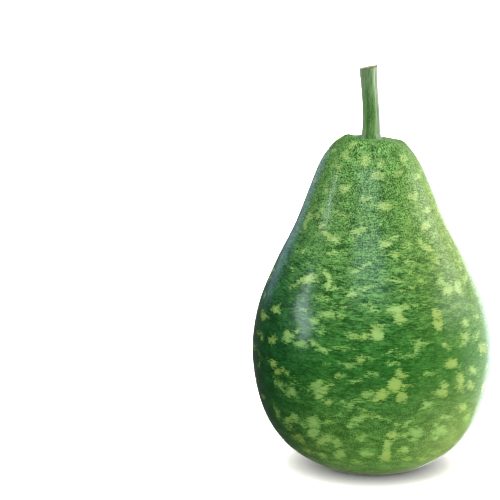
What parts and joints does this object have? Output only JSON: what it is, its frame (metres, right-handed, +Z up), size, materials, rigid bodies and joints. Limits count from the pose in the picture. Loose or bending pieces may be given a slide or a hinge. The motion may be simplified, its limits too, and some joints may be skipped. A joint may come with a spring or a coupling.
{
  "type": "bottle gourd",
  "caption": "Pear-shaped green bottle gourd with pale blotches, standing on its blossom end, with the cut stub of its stem on the crown.",
  "frame": {"origin": "under the middle of the belly, on the surface that the gourd rests on", "axes": "+Z up from the blossom end to the stem, -Y towards the viewer of the picture, +X to that viewer's right"},
  "size_m": [0.1453, 0.1436, 0.2431],
  "materials": {
    "skin": "satin",
    "stem": "matte"
  },
  "bodies": {
    "root": {"fruit": "skin", "stem": "stem"}
  },
  "joints": []
}
